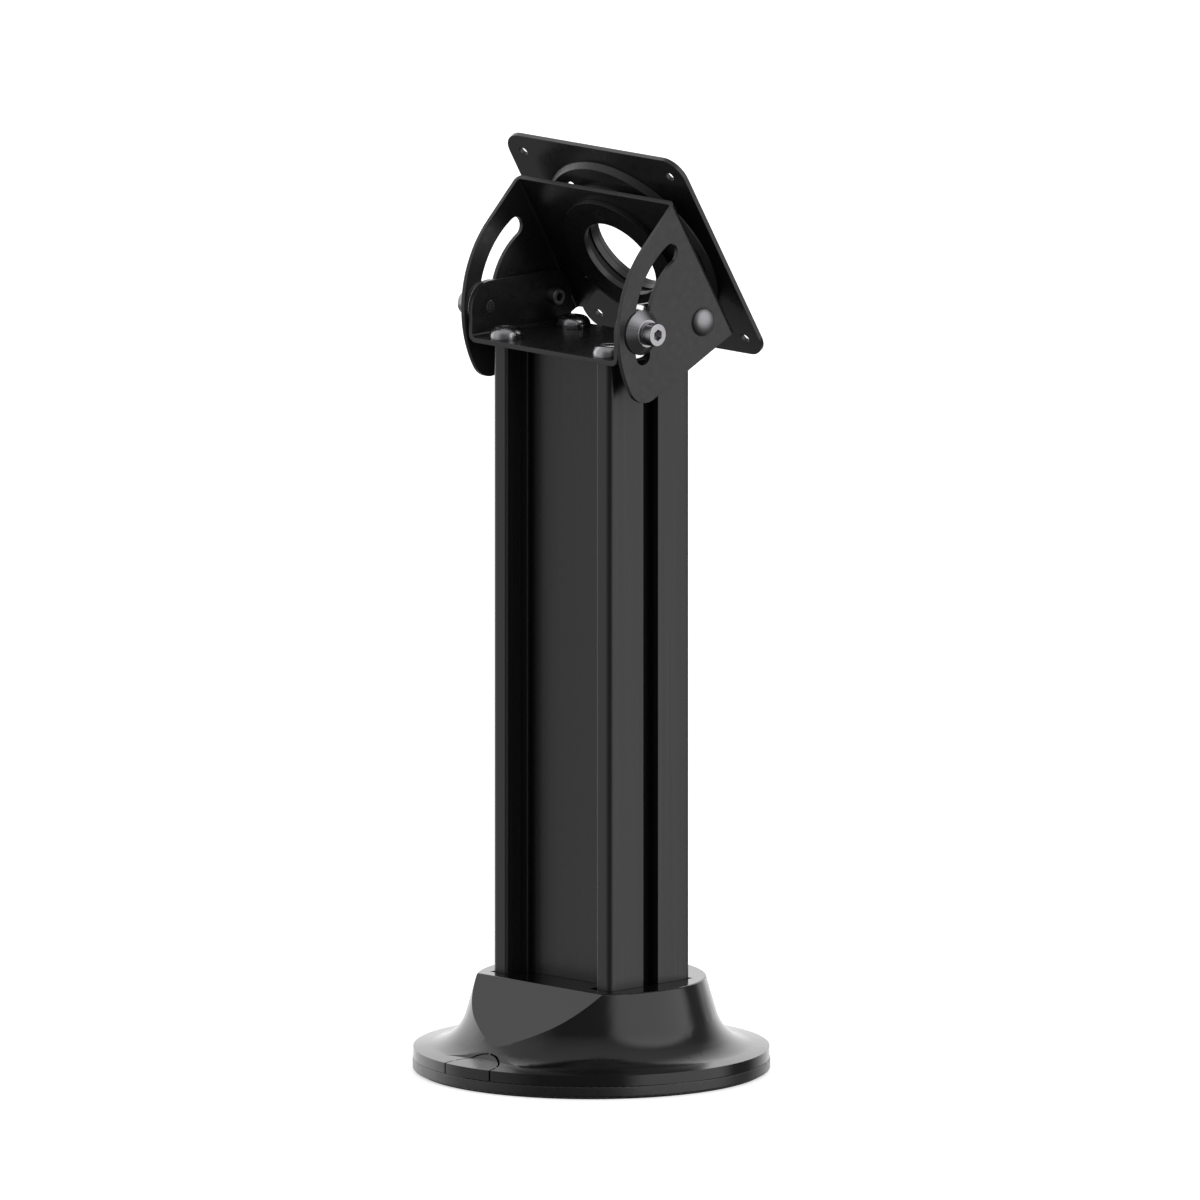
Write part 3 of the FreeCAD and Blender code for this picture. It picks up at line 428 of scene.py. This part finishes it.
def refined_copy(node: str, name: str, ease: float, angle: float) -> bpy.types.Object:
    """Copy a frame node's mesh, join its loose triangles and ease its edges.

    Args:
        node: The frame node.
        name: The new piece's name.
        ease: Width of the eased edges in metres.
        angle: The least turn in degrees that counts as an edge.

    Returns:
        The new piece.
    """
    source = bpy.data.objects[node]
    piece = bpy.data.objects.new(name, source.data.copy())
    bpy.context.scene.collection.objects.link(piece)
    piece.data.materials.clear()
    with editing(piece):
        bpy.ops.mesh.customdata_custom_splitnormals_clear()
        bpy.ops.mesh.remove_doubles(threshold=MERGE_DISTANCE)
        bpy.ops.mesh.dissolve_limited(angle_limit=math.radians(FLAT_TURN), delimit=set())
    ease_edges(piece, ease, angle)
    smooth(piece)
    level_normals(piece)
    return piece


def dress(piece: bpy.types.Object, material: bpy.types.Material) -> None:
    """Give the whole of a piece one finish."""
    if not piece.data.materials:
        piece.data.materials.append(material)
    for index in range(len(piece.data.materials)):
        piece.data.materials[index] = material


@dataclass
class Assembly:
    """What every sub-assembly shares: finishes and a list of the pieces it has made."""

    palette: Palette
    made: list[str] = field(default_factory=list)

    def dress_node(self, node: str, finish: Finish) -> None:
        """Give a frame node that stays in view its finish."""
        piece = bpy.data.objects[node]
        dress(piece, self.palette.get(finish))
        self.made.append(node)

    def replace_node(self, node: str, body: Body, slot: str, ease: float, finish: Finish,
                     angle: float = SHARP_TURN) -> None:
        """Put a refined copy in a frame node's place.

        Args:
            node: The frame node.
            body: The body that the piece rides on.
            slot: The record's material slot; not used.
            ease: Width of the eased edges in metres.
            finish: What the piece is finished in.
            angle: The least turn in degrees that counts as an edge.
        """
        piece = refined_copy(node, f"{node}_fine", ease, angle)
        dress(piece, self.palette.get(finish))
        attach(piece, body.value)
        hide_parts(node)
        self.made.append(piece.name)


@dataclass
class Foot(Assembly):
    """The weighted foot: rubber pad, steel plate, plastic skirt and its break-out tab."""

    plate_ease: float = 0.4 * MM
    skirt_ease: float = 0.25 * MM
    skirt_turn: float = 16.0
    tab_ease: float = 0.2 * MM

    def build(self) -> None:
        """Make the foot's pieces."""
        self.dress_node("base_pad", RUBBER)
        self.replace_node("base_plate", Body.STAND, "black_steel", self.plate_ease, POWDER)
        self.dress_node("base_screws", PLATED)
        self.replace_node("base_cover", Body.COVER, "cover_plastic", self.skirt_ease, COVER_GLOSS,
                          self.skirt_turn)
        self.replace_node("cable_tab", Body.COVER, "cover_plastic", self.tab_ease, COVER_GLOSS)


@dataclass
class Column(Assembly):
    """The extruded column and the yoke screwed to its top."""

    column_ease: float = 0.25 * MM
    yoke_ease: float = 0.3 * MM
    screw_ease: float = 0.15 * MM

    def build(self) -> None:
        """Make the column, the yoke and its screws."""
        self.replace_node("column", Body.STAND, "black_aluminium", self.column_ease, EXTRUSION)
        self.replace_node("yoke", Body.STAND, "black_steel", self.yoke_ease, POWDER)
        self.replace_node("yoke_screws", Body.STAND, "zinc_steel", self.screw_ease, DOME_NICKEL)


@dataclass
class Pivots(Assembly):
    """The two pivots and two clamps on the hinge line."""

    pivot_ease: float = 0.1 * MM
    clamp_ease: float = 0.15 * MM

    def build(self) -> None:
        """Make both sides' pieces."""
        for side in Side:
            tail = side.value
            clamp = Body.CLAMP_LEFT if side is Side.LEFT else Body.CLAMP_RIGHT
            self.dress_node(f"clamp_insert_{tail}", POWDER)
            self.dress_node(f"pivot_washer_{tail}", NYLON)
            self.replace_node(f"friction_washer_{tail}", Body.STAND, "zinc_steel", self.pivot_ease,
                              BRIGHT_WASHER)
            self.replace_node(f"pivot_screw_{tail}", Body.STAND, "zinc_steel", self.pivot_ease, SATIN_NICKEL)
            self.replace_node(f"clamp_cone_{tail}", Body.STAND, "zinc_steel", self.clamp_ease, PLATED)
            self.replace_node(f"clamp_screw_{tail}", clamp, "zinc_steel", self.clamp_ease, PLATED)


@dataclass
class Head(Assembly):
    """The tilting bracket and the turning plate."""

    sheet_ease: float = 0.3 * MM
    ring_ease: float = 0.4 * MM
    screw_ease: float = 0.1 * MM

    def build(self) -> None:
        """Make the head's pieces."""
        self.replace_node("tilt_bracket", Body.TILT, "black_steel", self.sheet_ease, POWDER)
        self.dress_node("stop_pin", PLATED)
        self.dress_node("glide_washer", NYLON)
        # The hub's near-black finish is painted shade for the gap around its bore.
        self.replace_node("swivel_hub", Body.SWIVEL, "black_steel", self.sheet_ease, HUB_PAINTED_SHADE)
        self.replace_node("swivel_disc", Body.SWIVEL, "black_steel", self.sheet_ease, POWDER)
        self.replace_node("retaining_ring", Body.SWIVEL, "black_steel", self.ring_ease, POWDER)
        self.replace_node("ring_screws", Body.SWIVEL, "black_screws", self.screw_ease, BLACK_OXIDE)
        self.replace_node("mount_plate", Body.SWIVEL, "black_steel", self.sheet_ease, POWDER)
        self.replace_node("plate_screws", Body.SWIVEL, "black_screws", self.screw_ease, BLACK_OXIDE)


# Studio


@dataclass(frozen=True)
class Glow:
    """A large soft light, far from the stand, as a bright patch of its surroundings."""

    azimuth: float
    elevation: float
    inner: float
    outer: float
    strength: float

    def add(self, tree: bpy.types.ShaderNodeTree, direction: bpy.types.NodeSocket) -> bpy.types.NodeSocket:
        """Add the patch to the surroundings.

        Args:
            tree: The world's nodes.
            direction: The way that the light comes from.

        Returns:
            The patch's brightness in that direction.
        """
        towards = tree.nodes.new("ShaderNodeVectorMath")
        towards.operation = "DOT_PRODUCT"
        towards.inputs[1].default_value = facing(self.azimuth, self.elevation)
        tree.links.new(direction, towards.inputs[0])
        outer, inner = math.cos(math.radians(self.outer)), math.cos(math.radians(self.inner))
        return add_range(tree, towards.outputs["Value"], 0.0, self.strength, outer, inner)


def facing(azimuth: float, elevation: float) -> Vector:
    """Give the direction of an azimuth from -Y towards +X, and an elevation, in degrees."""
    turn, rise = math.radians(azimuth), math.radians(elevation)
    return Vector((math.sin(turn) * math.cos(rise), -math.cos(turn) * math.cos(rise), math.sin(rise)))


@dataclass
class Studio:
    """A pale floor, a pale backdrop, soft light and the camera."""

    azimuth: float = 45.0
    elevation: float = 10.0
    view_height: float = 0.5803
    aim_right: float = 0.00416
    aim_up: float = 0.22684
    distance: float = 3.0
    far_limit: float = 20.0
    floor_side: float = 6.0
    floor_grain: float = 60.0
    floor_dark: Colour = (0.90, 0.90, 0.90)
    floor_light: Colour = (0.93, 0.93, 0.93)
    floor_roughness: float = 0.9
    floor_lift: float = 0.55
    ambient: float = 0.18
    ground: float = 0.3
    horizon: tuple[float, float] = (-0.45, -0.1)
    glows: tuple[Glow, ...] = (
        Glow(108.0, 12.0, 36.0, 47.0, 1.42),
        Glow(240.0, -5.0, 42.0, 70.0, 1.3),
        Glow(312.0, 8.0, 22.0, 60.0, 0.62),
        Glow(45.0, 88.0, 20.0, 60.0, 0.45),
    )

    def build(self) -> None:
        """Set the whole studio."""
        self.set_camera()
        self.set_floor()
        self.set_world()
        bpy.context.scene.view_settings.view_transform = "Standard"

    def set_camera(self) -> None:
        """Stand the camera square on, at the stand's three-quarter view."""
        away = facing(self.azimuth, self.elevation)
        turn = math.radians(self.azimuth)
        right = Vector((math.cos(turn), math.sin(turn), 0))
        up = away.cross(right)
        data = bpy.data.cameras.new("camera")
        data.type = "ORTHO"
        data.ortho_scale = self.view_height
        data.clip_end = self.far_limit
        camera = bpy.data.objects.new("camera", data)
        bpy.context.scene.collection.objects.link(camera)
        camera.location = right * self.aim_right + up * self.aim_up + away * self.distance
        camera.rotation_euler = away.to_track_quat("Z", "Y").to_euler()
        bpy.context.scene.camera = camera

    def set_floor(self) -> None:
        """Lay a plain pale floor that is seen but throws no light up at the stand."""
        bpy.ops.object.select_all(action="DESELECT")
        bpy.ops.mesh.primitive_plane_add(size=self.floor_side, location=(0, 0, 0))
        floor = bpy.context.object
        floor.name = "floor"
        material, tree, shader = new_material("pale_floor")
        paper = add_noise(tree, self.floor_grain)
        tree.links.new(add_tint(tree, paper, self.floor_dark, self.floor_light), shader.inputs["Base Color"])
        shader.inputs["Roughness"].default_value = self.floor_roughness
        shader.inputs["Emission Color"].default_value = (1, 1, 1, 1)
        shader.inputs["Emission Strength"].default_value = self.floor_lift
        dress(floor, material)
        floor.visible_diffuse = False
        floor.visible_glossy = False

    def set_world(self) -> None:
        """Surround the stand with soft patches of light above a dimmer ground."""
        world = bpy.data.worlds.new("studio")
        bpy.context.scene.world = world
        world.use_nodes = True
        tree = world.node_tree
        tree.nodes.clear()
        place = tree.nodes.new("ShaderNodeTexCoord")
        direction = place.outputs["Generated"]
        total = self.glows[0].add(tree, direction)
        for glow in self.glows[1:]:
            total = combine(tree, "ADD", total, glow.add(tree, direction))
        total = combine(tree, "ADD", total, self.ambient)
        height = tree.nodes.new("ShaderNodeSeparateXYZ")
        tree.links.new(direction, height.inputs["Vector"])
        shade = add_range(tree, height.outputs["Z"], self.ground, 1.0, *self.horizon)
        total = combine(tree, "MULTIPLY", total, shade)
        light = tree.nodes.new("ShaderNodeBackground")
        tree.links.new(total, light.inputs["Strength"])
        backdrop = tree.nodes.new("ShaderNodeBackground")
        for node in (light, backdrop):
            node.inputs["Color"].default_value = (1, 1, 1, 1)
        seen = tree.nodes.new("ShaderNodeLightPath")
        mix = tree.nodes.new("ShaderNodeMixShader")
        tree.links.new(seen.outputs["Is Camera Ray"], mix.inputs["Fac"])
        tree.links.new(light.outputs["Background"], mix.inputs[1])
        tree.links.new(backdrop.outputs["Background"], mix.inputs[2])
        output = tree.nodes.new("ShaderNodeOutputWorld")
        tree.links.new(mix.outputs["Shader"], output.inputs["Surface"])


def main() -> None:
    """Build the stand piece by piece, then the studio."""
    logging.basicConfig(level=logging.INFO, format="%(name)s: %(message)s")
    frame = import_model()
    LOG.info("frame: %d nodes", len(frame["nodes"]))
    bpy.ops.object.select_all(action="DESELECT")
    palette = Palette()
    for maker in (Foot, Column, Pivots, Head):
        assembly = maker(palette)
        assembly.build()
        for piece in assembly.made:
            LOG.info("%s: %s", maker.__name__, piece)
    Studio().build()


if __name__ == "__main__":
    main()
